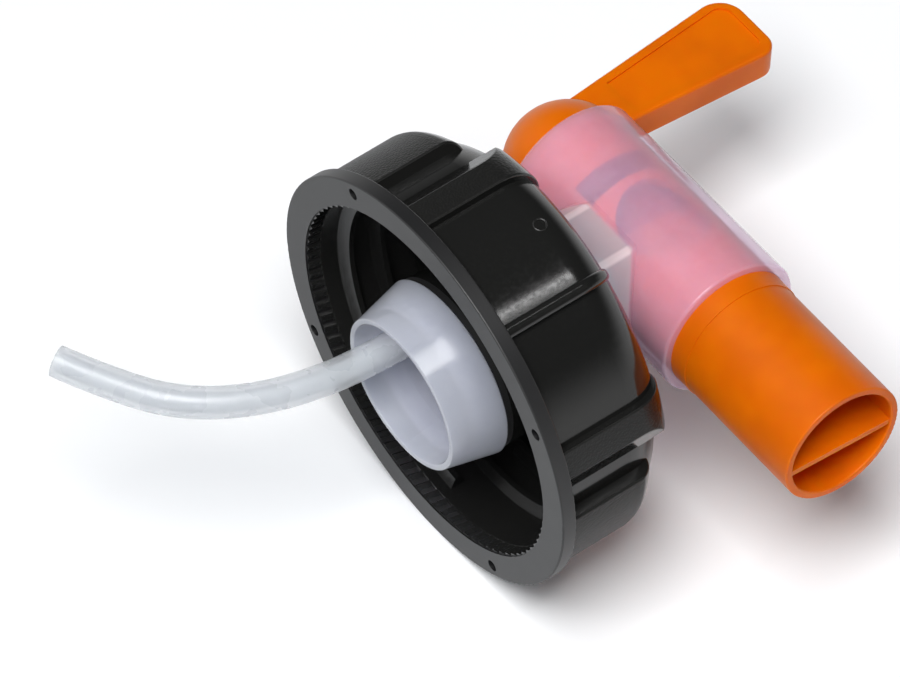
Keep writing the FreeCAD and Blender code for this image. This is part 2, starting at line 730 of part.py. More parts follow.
def build_plug(doc):
    """Lever, head, plug and spout: one moulding, with a dividing wall between liquid and air."""
    body = make_body(doc, "valve_plug")
    mouth = -size("spout_mouth")
    profile = make_sketch(body, "plug", "XZ_Plane")
    plain, dome = size("plug_radius"), size("dome_radius")
    crest = plain + size("snap_rise")
    half = size("snap_crest") / 2
    middle, slope = size("snap_height"), size("snap_slope")
    shoulder, centre = size("plug_shoulder"), size("dome_centre")
    draw_outline(
        profile,
        [
            (0, mouth),
            (size("spout_radius"), mouth),
            (size("spout_radius"), -size("spout_step")),
            (plain, -size("spout_step")),
            (plain, middle - half - slope),
            (crest, middle - half),
            (crest, middle + half),
            (plain, middle + half + slope),
            (plain, shoulder),
            (dome, shoulder + (plain - dome)),
            (dome, centre),
            (0, centre + dome),
        ],
        {10: dome},
    )
    revolve(body, profile)
    reach, root = size("lever_reach"), size("lever_root")
    lever = make_sketch(body, "lever", "YZ_Plane")
    draw_outline(
        lever,
        [
            (-root, size("lever_low_root")),
            (-root, size("lever_top_root")),
            (-reach, size("lever_top_tip")),
            (-reach, size("lever_low_tip")),
        ],
    )
    arm = extrude(body, lever, "Pad", size("lever_thickness"), both=True)
    upper = round_edges(
        body,
        "lever_upper_corner",
        arm,
        size("lever_top_round"),
        lambda edge: is_lever_corner(edge, "lever_top_tip"),
    )
    lower = round_edges(
        body,
        "lever_lower_corner",
        upper,
        size("lever_low_round"),
        lambda edge: is_lever_corner(edge, "lever_low_tip"),
    )
    round_edges(body, "lever_edges", lower, size("lever_edge_round"), is_lever_edge)
    margin, start = size("panel_margin"), size("panel_start")
    end = reach - margin
    top_root, top_tip = size("lever_top_root"), size("lever_top_tip")
    low_root, low_tip = size("lever_low_root"), size("lever_low_tip")
    bend = size("panel_round")
    inside = size("lever_thickness") / 2 - size("panel_depth")
    for name, side in (("panel_a", 1), ("panel_b", -1)):
        panel = make_sketch(body, name, "YZ_Plane", offset=inside * side)
        draw_outline(
            panel,
            [
                (-start, lever_edge(low_root, low_tip, start) + margin),
                (-start, lever_edge(top_root, top_tip, start) - margin),
                (-(end - bend), lever_edge(top_root, top_tip, end - bend) - margin),
                (-end, lever_edge(top_root, top_tip, end) - margin - bend),
                (-end, lever_edge(low_root, low_tip, end) + margin + bend),
                (-(end - bend), lever_edge(low_root, low_tip, end - bend) + margin),
            ],
            {2: size("panel_tip_round"), 4: bend},
        )
        extrude(body, panel, "Pocket", size("lever_thickness"), against=side > 0)
    bore = make_sketch(body, "spout_bore", "XY_Plane", offset=mouth)
    draw_circle(bore, 0, 0, size("spout_bore_radius"))
    hollow = extrude(body, bore, "Pocket", size("spout_mouth") + size("liquid_top"), against=True)
    rims = (size("spout_bore_radius"), size("spout_radius"))
    round_edges(
        body,
        "spout_edges",
        hollow,
        size("spout_edge_round"),
        lambda edge: any(is_circle_at(edge, rim, 2, mouth) for rim in rims),
    )
    septum = make_sketch(body, "septum", "XY_Plane", offset=mouth + size("spout_edge_round"))
    wide = size("spout_bore_radius") + size("septum_root")
    face = size("septum_face")
    draw_rectangle(septum, face, -wide, face + size("septum_thickness"), wide)
    extrude(body, septum, "Pad", size("spout_mouth") - size("spout_edge_round") + size("liquid_top"))
    air = make_sketch(body, "air_channel", "XY_Plane")
    draw_chord(air, size("spout_bore_radius"), face + size("septum_thickness"))
    extrude(body, air, "Pocket", size("air_top"), against=True)
    window = make_sketch(body, "window", "YZ_Plane")
    draw_circle(window, 0, -size("port_drop"), size("port_radius"))
    extrude(body, window, "Pocket", size("barrel_foot_radius"))
    slot = make_sketch(body, "air_slot", "YZ_Plane", offset=face + size("septum_thickness") * 1.5)
    half_slot = size("slot_half_width")
    draw_rectangle(slot, -half_slot, size("slot_low"), half_slot, size("slot_high"))
    extrude(body, slot, "Pocket", size("barrel_foot_radius") + face + size("septum_thickness") * 2)
    axis = size("barrel_distance")
    turn = size("plug_turn")
    body.Placement = Placement(Vector(0, -axis.number, 0), Rotation(Vector(0, 0, 1), turn.number))
    bind(body, "Placement.Base.y", -axis)
    bind(body, "Placement.Rotation.Angle", turn)
    return body


def is_lever_corner(edge, tip):
    """True for the edge across the lever's end at the upper or the lower corner."""
    if not is_line_along(edge, 0):
        return False
    place = edge.valueAt(edge.FirstParameter)
    return abs(place.y + size("lever_reach").number) < 0.01 and abs(place.z - size(tip).number) < 0.01


def is_lever_edge(edge):
    """True for the edges of the lever's two broad faces, outside the round head."""
    if edge.Degenerated:
        return False
    middle = edge.valueAt((edge.FirstParameter + edge.LastParameter) / 2)
    half = size("lever_thickness").number / 2
    flat = abs(edge.BoundBox.XLength) < 1e-6 and abs(abs(middle.x) - half) < 1e-6
    return flat and -middle.y > size("dome_radius").number + 0.5


def draw_chord(sketch, radius, face):
    """The part of a circle beyond a straight line parallel to the sketch's Y."""
    height = math.sqrt(radius.number**2 - face.number**2)
    angle = math.atan2(height, face.number)
    circle = Part.Circle(Vector(0, 0, 0), Vector(0, 0, 1), radius.number)
    arc = sketch.addGeometry(Part.ArcOfCircle(circle, -angle, angle), False)
    ends = [Vector(face.number, height, 0), Vector(face.number, -height, 0)]
    line = sketch.addGeometry(Part.LineSegment(ends[0], ends[1]), False)
    sketch.addConstraint(Sketcher.Constraint("Coincident", arc, 3, -1, 1))
    sketch.addConstraint(Sketcher.Constraint("Coincident", arc, 2, line, 1))
    sketch.addConstraint(Sketcher.Constraint("Coincident", line, 2, arc, 1))
    sketch.addConstraint(Sketcher.Constraint("Vertical", line))
    index = sketch.addConstraint(Sketcher.Constraint("Radius", arc, radius.number))
    bind(sketch, f"Constraints[{index}]", radius)
    index = sketch.addConstraint(Sketcher.Constraint("DistanceX", -1, 1, line, 1, face.number))
    bind(sketch, f"Constraints[{index}]", face)


def tube_path(points):
    """Straight runs joined by tangent arcs, each as large as its two runs allow."""
    edges = []
    start = points[0]
    for before, corner, after in zip(points, points[1:], points[2:]):
        back, ahead = before.sub(corner), after.sub(corner)
        half_turn = (math.pi - back.getAngle(ahead)) / 2
        trim = 0.45 * min(back.Length, ahead.Length)
        radius = trim / math.tan(half_turn)
        entry = corner.add(back.normalize() * trim)
        leave = corner.add(ahead.normalize() * trim)
        inward = back.add(ahead).normalize() * (radius / math.cos(half_turn) - radius)
        edges.append(Part.LineSegment(start, entry).toShape())
        edges.append(Part.Arc(entry, corner.add(inward), leave).toShape())
        start = leave
        print(f"tube bend radius {radius:.1f}")
    edges.append(Part.LineSegment(start, points[-1]).toShape())
    return Part.Wire(edges)


def build_tube(doc, sheet):
    """The bent air tube, from its seat in the socket to its cut end."""
    shoulder_back = sheet.get("cap_height") + sheet.get("shoulder_gap") + sheet.get("shoulder_thickness")
    seat = -shoulder_back + sheet.get("partition") + sheet.get("socket_length") - sheet.get("socket_seat")
    points = [Vector(0, seat, sheet.get("duct_height"))] + [Vector(*bend) for bend in TUBE_BENDS]
    path = tube_path(points)
    outer_radius = sheet.get("tube_radius")
    solids = []
    for radius in (outer_radius, outer_radius - sheet.get("tube_wall")):
        circle = Part.Wire(Part.Circle(points[0], Vector(0, 1, 0), radius).toShape())
        solids.append(path.makePipeShell([circle], True, True))
    tube = doc.addObject("Part::Feature", "air_tube")
    tube.Shape = solids[0].cut(solids[1])
    tube.Placement = Placement()
    expected = math.pi * (outer_radius**2 - (outer_radius - sheet.get("tube_wall")) ** 2) * path.Length
    print(f"tube length {path.Length:.2f}, volume {tube.Shape.Volume:.1f} of {expected:.1f}")
    return tube


def check_document(doc, parts):
    """Stops if any object failed or a sub-part isn't one valid solid."""
    for item in doc.Objects:
        if "Invalid" in item.State or "Error" in item.State:
            raise RuntimeError(f"{item.Label}: {item.State}")
    for part in parts:
        shape = part.Shape
        if shape.isNull() or not shape.isValid():
            raise RuntimeError(f"{part.Label}: shape isn't valid")
        print(f"{part.Label}: {len(shape.Solids)} solid, {shape.Volume:.1f} mm3, {len(shape.Faces)} faces")


def main():
    """Builds the document and writes one STEP file for each sub-part."""
    doc = FreeCAD.newDocument("canister_tap")
    sheet = make_sheet(doc)
    doc.recompute()
    parts = [
        build_cap(doc, sheet),
        build_gasket(doc),
        build_washer(doc),
        build_tap_body(doc),
        build_plug(doc),
        build_tube(doc, sheet),
    ]
    doc.recompute()
    check_document(doc, parts)
    os.makedirs("parts", exist_ok=True)
    for part in parts:
        part.Shape.exportStep(f"parts/{part.Label}.step")


main()
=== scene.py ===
"""Dresses a canister tap: black screw cap, milky tap body, orange valve plug and bent air tube.

Metres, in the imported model's frame. +Y points out of the cap's mouth and +Z runs along the barrel
from the spout to the lever. The tap lies on its side on a pale table whose top faces -X.
"""

import logging
import math
from dataclasses import dataclass, field
from enum import Enum

import bpy
from mathutils import Euler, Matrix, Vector


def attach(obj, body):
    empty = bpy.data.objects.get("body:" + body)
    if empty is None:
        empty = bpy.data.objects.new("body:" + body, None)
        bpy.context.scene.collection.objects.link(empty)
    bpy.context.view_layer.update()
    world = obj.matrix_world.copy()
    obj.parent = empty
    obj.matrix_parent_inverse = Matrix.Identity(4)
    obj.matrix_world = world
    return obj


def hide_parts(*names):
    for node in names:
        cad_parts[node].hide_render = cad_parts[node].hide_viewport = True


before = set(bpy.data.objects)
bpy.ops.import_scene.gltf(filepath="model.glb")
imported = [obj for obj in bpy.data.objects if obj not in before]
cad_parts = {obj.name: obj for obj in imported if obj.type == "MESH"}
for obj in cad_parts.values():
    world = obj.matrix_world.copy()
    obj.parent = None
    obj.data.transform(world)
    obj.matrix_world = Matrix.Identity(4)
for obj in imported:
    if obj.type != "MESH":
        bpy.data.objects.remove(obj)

LOG = logging.getLogger("canister_tap")
MM = 0.001
WHITE = (1.0, 1.0, 1.0, 1.0)
SMOOTH = {"interpolation_type": "SMOOTHSTEP"}
Colour = tuple[float, float, float, float]
Socket = bpy.types.NodeSocket


class Body(Enum):
    """The rigid bodies that added pieces ride on."""

    CAP = "cap"
    TAP = "tap"


class Slot(Enum):
    """The record's material slots that added pieces belong to."""

    BLACK = "black_polypropylene"
    TUBE = "natural_polyethylene"


def linear(code: str) -> Colour:
    """Turns an sRGB hex colour into linear values.

    Args:
        code: six hex digits with a leading hash.

    Returns:
        Red, green, blue and an alpha of 1.
    """
    parts = [int(code[place : place + 2], 16) / 255 for place in (1, 3, 5)]
    light = [part / 12.92 if part <= 0.04045 else ((part + 0.055) / 1.055) ** 2.4 for part in parts]
    return (*light, 1.0)


def add_node(tree: bpy.types.NodeTree, kind: str, inputs: dict | None = None, **settings) -> bpy.types.Node:
    """Adds a node with its settings and links.

    Args:
        tree: the node tree.
        kind: the node's type.
        inputs: for each input by name or number, a value, a socket, or a node whose first output is linked.
        **settings: attributes of the node.

    Returns:
        The new node.
    """
    node = tree.nodes.new(kind)
    for name, value in settings.items():
        setattr(node, name, value)
    for name, value in (inputs or {}).items():
        if isinstance(value, bpy.types.Node):
            value = value.outputs[0]
        if isinstance(value, Socket):
            tree.links.new(value, node.inputs[name])
        else:
            node.inputs[name].default_value = value
    return node


def blank_material(name: str) -> tuple[bpy.types.Material, bpy.types.NodeTree]:
    """Starts a material with an empty node tree.

    Args:
        name: the finish's name.

    Returns:
        The material and its tree.
    """
    material = bpy.data.materials.new(name)
    material.use_nodes = True
    material.node_tree.nodes.clear()
    return material, material.node_tree


@dataclass(frozen=True)
class BlackPolypropylene:
    """Injection-moulded black polypropylene: polished panels, a satin rim and spark-eroded grips."""

    # Carbon-black resin: nearly black with a faint warm cast, all shape read from reflections.
    colour: str = "#1B1B1A"
    rim_colour: str = "#131314"
    panel_roughness: float = 0.12
    rim_roughness: float = 0.45
    grip_roughness: float = 0.42
    bore_roughness: float = 0.24
    # The pimples shade each other, so that a grained grip reflects less than a polished panel.
    panel_specular: float = 0.5
    grip_specular: float = 0.15
    # Spark-eroded grain is a field of rounded pimples: about how far apart, and how deep.
    grain_mm: float = 0.42
    grain_depth_mm: float = 0.07
    # A polished panel still waves a little where the plastic sank over the thick wall behind it.
    sink_mm: float = 8.0
    sink_depth_mm: float = 0.045
    # Ribs and pads stand out from the wall, whose back is rounded. They are told from it by their
    # distance from the middle of that bend, which is given as a radius and a depth.
    bend_centre_mm: tuple[float, float] = (26.5, 17.0)
    raised_mm: tuple[float, float] = (8.05, 8.4)
    rim_thickness_mm: float = 2.6
    # The satin rim ends over the last tenth of its thickness, and the grips start a little below it.
    rim_blend: float = 0.9
    rim_gap_mm: tuple[float, float] = (0.1, 0.5)
    bore_mm: tuple[float, float] = (30.5, 31.0)
    # Specks of duller polish: how many in a metre, the noise's values they grow between, how dull.
    specks_per_m: float = 1500.0
    speck_span: tuple[float, float] = (0.35, 0.75)
    speck_roughness: float = 0.07
    ior: float = 1.49
    # Turn of a narrow ridge from +X towards +Z. The grips repeat after half a turn.
    ridge_turn_deg: float = 213.5
    # Cosines of the turn off the ridge where the ribs start, and where the pads do. The ribs' grain
    # is a little weaker.
    rib_facing: tuple[float, float] = (0.84, 0.81)
    pad_facing: tuple[float, float] = (0.62, 0.56)
    rib_grain: float = 0.75

    def build(self) -> bpy.types.Material:
        """Makes the material."""
        material, tree = blank_material("moulded black polypropylene")
        place = add_node(tree, "ShaderNodeTexCoord").outputs["Object"]
        y = add_node(tree, "ShaderNodeSeparateXYZ", {0: place}).outputs["Y"]
        flat = add_node(tree, "ShaderNodeVectorMath", {0: place, 1: (1.0, 0.0, 1.0)}, operation="MULTIPLY")
        radius = add_node(tree, "ShaderNodeVectorMath", {0: flat}, operation="LENGTH").outputs["Value"]
        grip = self.grip_share(tree, flat, radius, y)
        inner, outer = (part * MM for part in self.bore_mm)
        wall = add_node(tree, "ShaderNodeMapRange", {0: radius, 1: inner, 2: outer}, **SMOOTH)
        top = -self.rim_thickness_mm * MM
        ends = {0: y, 1: top, 2: self.rim_blend * top, 4: wall}
        rim = add_node(tree, "ShaderNodeMapRange", ends, **SMOOTH)
        hollows = {"Vector": place, "Scale": 1 / (self.sink_mm * MM), "Detail": 1.0}
        sink = add_node(tree, "ShaderNodeTexNoise", hollows)
        grain = add_node(tree, "ShaderNodeTexVoronoi", {"Vector": place, "Scale": 1 / (self.grain_mm * MM)})
        wavy = {"Height": sink, "Distance": self.sink_depth_mm * MM, "Strength": 1.0}
        waved = add_node(tree, "ShaderNodeBump", wavy)
        pimples = {"Height": grain, "Distance": self.grain_depth_mm * MM, "Strength": grip, "Normal": waved}
        eroded = add_node(tree, "ShaderNodeBump", pimples, invert=True)
        specks = {"Vector": place, "Scale": self.specks_per_m, "Detail": 2.0}
        speck = add_node(tree, "ShaderNodeTexNoise", specks)
        start, end = self.speck_span
        dull = self.panel_roughness + self.speck_roughness
        polish = {0: speck, 1: start, 2: end, 3: self.panel_roughness, 4: dull}
        shine = add_node(tree, "ShaderNodeMapRange", polish, **SMOOTH)
        shine = add_node(tree, "ShaderNodeMapRange", {0: wall, 3: self.bore_roughness, 4: shine})
        shine = add_node(tree, "ShaderNodeMapRange", {0: rim, 3: shine, 4: self.rim_roughness})
        shine = add_node(tree, "ShaderNodeMapRange", {0: grip, 3: shine, 4: self.grip_roughness})
        tints = {0: rim, 6: linear(self.colour), 7: linear(self.rim_colour)}
        tint = add_node(tree, "ShaderNodeMix", tints, data_type="RGBA").outputs[2]
        glint = add_node(tree, "ShaderNodeMapRange", {0: grip, 3: self.panel_specular, 4: self.grip_specular})
        shell = {"Base Color": tint, "Roughness": shine, "IOR": self.ior, "Normal": eroded}
        shell["Specular IOR Level"] = glint
        shader = add_node(tree, "ShaderNodeBsdfPrincipled", shell)
        add_node(tree, "ShaderNodeOutputMaterial", {"Surface": shader})
        return material

    def grip_share(
        self, tree: bpy.types.NodeTree, flat: bpy.types.Node, radius: Socket, y: Socket
    ) -> bpy.types.Node:
        """Finds the grained ribs and pads.

        Args:
            tree: the node tree.
            flat: the place without its height along the cap's axis.
            radius: distance from that axis.
            y: height along it.

        Returns:
            A node that gives 1 on the pads, less on the ribs and 0 elsewhere.
        """
        outline = add_node(tree, "ShaderNodeCombineXYZ", {0: radius, 1: y})
        across, along = (part * MM for part in self.bend_centre_mm)
        from_bend = {0: outline, 1: (1.0, -1.0, 0.0), 2: (-across, -along, 0.0)}
        past = add_node(tree, "ShaderNodeVectorMath", from_bend, operation="MULTIPLY_ADD")
        past = add_node(tree, "ShaderNodeVectorMath", {0: past, 1: (0.0, 0.0, 0.0)}, operation="MAXIMUM")
        reach = add_node(tree, "ShaderNodeVectorMath", {0: past}, operation="LENGTH").outputs["Value"]
        turn = math.radians(self.ridge_turn_deg)
        ridge = (math.cos(turn), 0.0, math.sin(turn))
        way = add_node(tree, "ShaderNodeVectorMath", {0: flat}, operation="NORMALIZE")
        facing = add_node(tree, "ShaderNodeVectorMath", {0: way, 1: ridge}, operation="DOT_PRODUCT")
        facing = add_node(tree, "ShaderNodeMath", {0: facing.outputs["Value"]}, operation="ABSOLUTE")
        start, end = self.pad_facing
        pads = {0: facing, 1: start, 2: end, 3: self.rib_grain, 4: 1.0}
        share = add_node(tree, "ShaderNodeMapRange", pads, **SMOOTH)
        start, end = self.rib_facing
        share = add_node(tree, "ShaderNodeMapRange", {0: facing, 1: start, 2: end, 4: share}, **SMOOTH)
        start, end = (part * MM for part in self.raised_mm)
        share = add_node(tree, "ShaderNodeMapRange", {0: reach, 1: start, 2: end, 4: share}, **SMOOTH)
        start, end = (-(self.rim_thickness_mm + part) * MM for part in self.rim_gap_mm)
        below_rim = {0: y, 1: start, 2: end, 4: share}
        return add_node(tree, "ShaderNodeMapRange", below_rim, **SMOOTH)


@dataclass(frozen=True)
class GasketRubber:
    """Punched black EPDM sheet: matt, with a fine uneven grain."""

    colour: str = "#161617"
    grain_mm: float = 0.3
    grain_depth_mm: float = 0.02
    grain_strength: float = 0.5
    grain_span: tuple[float, float] = (0.3, 0.7)
    roughness: tuple[float, float] = (0.6, 0.75)
    ior: float = 1.5

    def build(self) -> bpy.types.Material:
        """Makes the material."""
        material, tree = blank_material("punched black rubber")
        place = add_node(tree, "ShaderNodeTexCoord").outputs["Object"]
        fine = {"Vector": place, "Scale": 1 / (self.grain_mm * MM), "Detail": 3.0}
        grain = add_node(tree, "ShaderNodeTexNoise", fine)
        pitted = {"Height": grain, "Distance": self.grain_depth_mm * MM, "Strength": self.grain_strength}
        bump = add_node(tree, "ShaderNodeBump", pitted)
        start, end = self.grain_span
        smooth, dull = self.roughness
        shine = add_node(tree, "ShaderNodeMapRange", {0: grain, 1: start, 2: end, 3: smooth, 4: dull})
        sheet = {"Base Color": linear(self.colour), "Roughness": shine, "IOR": self.ior, "Normal": bump}
        shader = add_node(tree, "ShaderNodeBsdfPrincipled", sheet)
        add_node(tree, "ShaderNodeOutputMaterial", {"Surface": shader})
        return material


@dataclass(frozen=True)
class MilkyPlastic:
    """Unpigmented polyolefin: what stands behind a thin wall glows through the haze inside the wall."""

    name: str
    # Colour of the haze in a thin wall and in a thick one. The thin wall's lilac is partly painted light:
    # that of the orange plug, scattered in the haze.
    thin_haze_and_plug_light: str
    thick_haze: str
    # What light that passes straight through takes on in each.
    thin_tint: str
    thick_tint: str
    # Share of the view that the haze takes on one skin of a thin wall and of a thick one.
    thin: float
    thick: float
    roughness: float
    # Thin walls lie round the barrel: its axis along +Z, and the distances from it where they end.
    barrel_mm: float = -43.6
    walls_mm: tuple[float, float] = (12.7, 13.3)
    # A moulded corner of the neck, along +Y and the same on all four, gets a painted highlight: a paler haze
    # along it.
    corner_mm: tuple[float, float, float] = (10.45, 0.0, 5.5)
    corner_reach_mm: tuple[float, float] = (1.0, 0.45)
    corner_depth_mm: tuple[float, float] = (-24.0, -25.0)
    painted_corner_highlight: str = "#F4F0F6"
    # Faint clouds in the haze, which also wave the surface and its polish.
    cloud_mm: float = 5.0
    cloud_share: float = 0.08
    cloud_span: tuple[float, float] = (0.3, 0.7)
    cloud_roughness: float = 0.08
    wave_depth_mm: float = 0.01
    wave_strength: float = 0.3
    haze_roughness: float = 0.5
    haze_depth_mm: float = 1.5
    ior: float = 1.49
    # Share of a lamp's light that one skin stops. Most of what a thin wall holds back still reaches
    # what is behind it, scattered, and a thick one throws a soft shadow.
    thin_shade: float = 0.03
    thick_shade: float = 0.25

    def build(self) -> bpy.types.Material:
        """Makes the material."""
        material, tree = blank_material(self.name)
        place = add_node(tree, "ShaderNodeTexCoord").outputs["Object"]
        puffs = {"Vector": place, "Scale": 1 / (self.cloud_mm * MM), "Detail": 3.0}
        cloud = add_node(tree, "ShaderNodeTexNoise", puffs)
        from_barrel = {0: place, 1: (1.0, 1.0, 0.0), 2: (0.0, -self.barrel_mm * MM, 0.0)}
        from_barrel = add_node(tree, "ShaderNodeVectorMath", from_barrel, operation="MULTIPLY_ADD")
        away = add_node(tree, "ShaderNodeVectorMath", {0: from_barrel}, operation="LENGTH").outputs["Value"]
        start, end = (part * MM for part in self.walls_mm)
        depth = add_node(tree, "ShaderNodeMapRange", {0: away, 1: start, 2: end}, **SMOOTH)
        share = add_node(tree, "ShaderNodeMapRange", {0: depth, 3: self.thin, 4: self.thick})
        quarter = add_node(tree, "ShaderNodeVectorMath", {0: place, 1: (1.0, 0.0, 1.0)}, operation="MULTIPLY")
        quarter = add_node(tree, "ShaderNodeVectorMath", {0: quarter}, operation="ABSOLUTE")
        corner = {0: quarter, 1: tuple(part * MM for part in self.corner_mm)}
        corner = add_node(tree, "ShaderNodeVectorMath", corner, operation="DISTANCE").outputs["Value"]
        start, end = (part * MM for part in self.corner_reach_mm)
        corner = add_node(tree, "ShaderNodeMapRange", {0: corner, 1: start, 2: end, 4: depth}, **SMOOTH)
        y = add_node(tree, "ShaderNodeSeparateXYZ", {0: place}).outputs["Y"]
        start, end = (part * MM for part in self.corner_depth_mm)
        corner = add_node(tree, "ShaderNodeMapRange", {0: y, 1: start, 2: end, 4: corner}, **SMOOTH)
        clouded = {0: cloud, 1: self.cloud_share, 2: share}
        share = add_node(tree, "ShaderNodeMath", clouded, operation="MULTIPLY_ADD")
        rays = add_node(tree, "ShaderNodeLightPath").outputs
        shade = add_node(tree, "ShaderNodeMapRange", {0: depth, 3: self.thin_shade, 4: self.thick_shade})
        share = add_node(tree, "ShaderNodeMapRange", {0: rays["Is Shadow Ray"], 3: share, 4: shade})
        # In thin walls the haze's colour is partly painted light from the orange plug.
        tones = {0: depth, 6: linear(self.thin_haze_and_plug_light), 7: linear(self.thick_haze)}
        haze = add_node(tree, "ShaderNodeMix", tones, data_type="RGBA").outputs[2]
        # Paints the highlight along the neck's corners as a paler haze.
        tones = {0: corner, 6: haze, 7: linear(self.painted_corner_highlight)}
        haze = add_node(tree, "ShaderNodeMix", tones, data_type="RGBA").outputs[2]
        waves = {"Height": cloud, "Distance": self.wave_depth_mm * MM, "Strength": self.wave_strength}
        wave = add_node(tree, "ShaderNodeBump", waves)
        milk = {
            "Base Color": haze,
            "Roughness": self.haze_roughness,
            "Specular IOR Level": 0.0,
            "Subsurface Weight": 1.0,
            "Subsurface Radius": (1.0, 1.0, 1.0),
            "Subsurface Scale": self.haze_depth_mm * MM,
            "Normal": wave,
        }
        milk = add_node(tree, "ShaderNodeBsdfPrincipled", milk)
        tones = {0: depth, 6: linear(self.thin_tint), 7: linear(self.thick_tint)}
        tint = add_node(tree, "ShaderNodeMix", tones, data_type="RGBA").outputs[2]
        clear = add_node(tree, "ShaderNodeBsdfTransparent", {"Color": tint})
        wall = add_node(tree, "ShaderNodeMixShader", {0: share, 1: clear, 2: milk})
        fresnel = add_node(tree, "ShaderNodeFresnel", {"IOR": self.ior, "Normal": wave})
        inside = add_node(tree, "ShaderNodeNewGeometry").outputs["Backfacing"]
        skin = add_node(tree, "ShaderNodeMapRange", {0: inside, 3: fresnel, 4: 0.0})
        start, end = self.cloud_span
        dull = self.roughness + self.cloud_roughness
        shine = add_node(tree, "ShaderNodeMapRange", {0: cloud, 1: start, 2: end, 3: self.roughness, 4: dull})
        gloss = add_node(tree, "ShaderNodeBsdfAnisotropic", {"Roughness": shine, "Normal": wave})
        shader = add_node(tree, "ShaderNodeMixShader", {0: skin, 1: wall, 2: gloss})
        add_node(tree, "ShaderNodeOutputMaterial", {"Surface": shader})
        return material


@dataclass(frozen=True)
class OrangePolyethylene:
    """Injection-moulded orange polyethylene: waxy and smooth, with a faint cloud of pigment."""

    colour: str = "#E26E00"
    deep_colour: str = "#D66400"
    roughness: float = 0.36
    cloud_mm: float = 12.0
    cloud_span: tuple[float, float] = (0.3, 0.7)
    cloud_roughness: float = 0.08
    pigment_span: tuple[float, float] = (0.35, 0.7)
    skin_mm: float = 0.8
    skin_depth_mm: float = 0.015
    skin_strength: float = 0.5
    # Waxy: a weak gloss, and light that wanders under the skin, the red part furthest.
    ior: float = 1.45
    specular: float = 0.2
    glow_share: float = 0.5
    glow_radius: tuple[float, float, float] = (1.0, 0.4, 0.1)
    glow_mm: float = 3.0

    def build(self) -> bpy.types.Material:
        """Makes the material."""
        material, tree = blank_material("moulded orange polyethylene")
        place = add_node(tree, "ShaderNodeTexCoord").outputs["Object"]
        puffs = {"Vector": place, "Scale": 1 / (self.cloud_mm * MM), "Detail": 2.0}
        cloud = add_node(tree, "ShaderNodeTexNoise", puffs)
        pores = {"Vector": place, "Scale": 1 / (self.skin_mm * MM), "Detail": 2.0}
        skin = add_node(tree, "ShaderNodeTexNoise", pores)
        start, end = self.pigment_span
        pigment = add_node(tree, "ShaderNodeMapRange", {0: cloud, 1: start, 2: end}, **SMOOTH)
        tints = {0: pigment, 6: linear(self.colour), 7: linear(self.deep_colour)}
        tint = add_node(tree, "ShaderNodeMix", tints, data_type="RGBA").outputs[2]
        pored = {"Height": skin, "Distance": self.skin_depth_mm * MM, "Strength": self.skin_strength}
        bump = add_node(tree, "ShaderNodeBump", pored)
        start, end = self.cloud_span
        dull = self.roughness + self.cloud_roughness
        shine = add_node(tree, "ShaderNodeMapRange", {0: cloud, 1: start, 2: end, 3: self.roughness, 4: dull})
        wax = {
            "Base Color": tint,
            "Roughness": shine,
            "IOR": self.ior,
            "Specular IOR Level": self.specular,
            "Subsurface Weight": self.glow_share,
            "Subsurface Radius": self.glow_radius,
            "Subsurface Scale": self.glow_mm * MM,
            "Normal": bump,
        }
        shader = add_node(tree, "ShaderNodeBsdfPrincipled", wax)
        add_node(tree, "ShaderNodeOutputMaterial", {"Surface": shader})
        return material


def dress(node: str, material: bpy.types.Material) -> None:
    """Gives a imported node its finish.

    Args:
        node: the node's name.
        material: its finish.
    """
    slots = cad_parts[node].data.materials
    slots.clear()
    slots.append(material)
    LOG.info("dressed %s with %s", node, material.name)


def solve_tree(
    tree: bpy.types.NodeTree, values: dict[str, float], mesh: bpy.types.Mesh, wall: float = 0.0
) -> bpy.types.Mesh:
    """Runs a Geometry Nodes tree and keeps its result as a plain mesh.

    Args:
        tree: the tree.
        values: a value for each named size.
        mesh: what the tree starts from.
        wall: thickness of a hollow wall, grown inwards, or 0 for none.

    Returns:
        The mesh.
    """
    holder = bpy.data.objects.new(tree.name, mesh)
    bpy.context.scene.collection.objects.link(holder)
    modifier = holder.modifiers.new(tree.name, "NODES")
    modifier.node_group = tree
    for item in tree.interface.items_tree:
        if item.in_out == "INPUT" and item.name in values:
            modifier[item.identifier] = values[item.name]
    if wall:
        shell = holder.modifiers.new("wall", "SOLIDIFY")
        shell.thickness = wall
        shell.offset = -1.0
    evaluated = holder.evaluated_get(bpy.context.evaluated_depsgraph_get())
    result = bpy.data.meshes.new_from_object(evaluated)
    holder.modifiers.clear()
    bpy.data.objects.remove(holder)
    return result


def sweep_tree(name: str, finish: bpy.types.Material, sides: int) -> bpy.types.NodeTree:
    """Builds the tree that sweeps a round section along the edges it is given.

    Args:
        name: the tree's name.
        finish: the material set inside the tree.
        sides: corners of the section.

    Returns:
        The tree, with the input "Section radius".
    """
    tree = bpy.data.node_groups.new(name, "GeometryNodeTree")
    tree.interface.new_socket("Geometry", in_out="OUTPUT", socket_type="NodeSocketGeometry")
    tree.interface.new_socket("Route", in_out="INPUT", socket_type="NodeSocketGeometry")
    tree.interface.new_socket("Section radius", in_out="INPUT", socket_type="NodeSocketFloat")
    source = add_node(tree, "NodeGroupInput").outputs
    path = add_node(tree, "GeometryNodeMeshToCurve", {0: source["Route"]})
    ring = {"Resolution": sides, "Radius": source["Section radius"]}
    section = add_node(tree, "GeometryNodeCurvePrimitiveCircle", ring)
    swept = add_node(tree, "GeometryNodeCurveToMesh", {"Curve": path, "Profile Curve": section})
    smooth = add_node(tree, "GeometryNodeSetShadeSmooth", {0: swept})
    real = add_node(tree, "GeometryNodeRealizeInstances", {0: smooth})
    painted = add_node(tree, "GeometryNodeSetMaterial", {0: real, "Material": finish})
    add_node(tree, "NodeGroupOutput", {0: painted})
    return tree


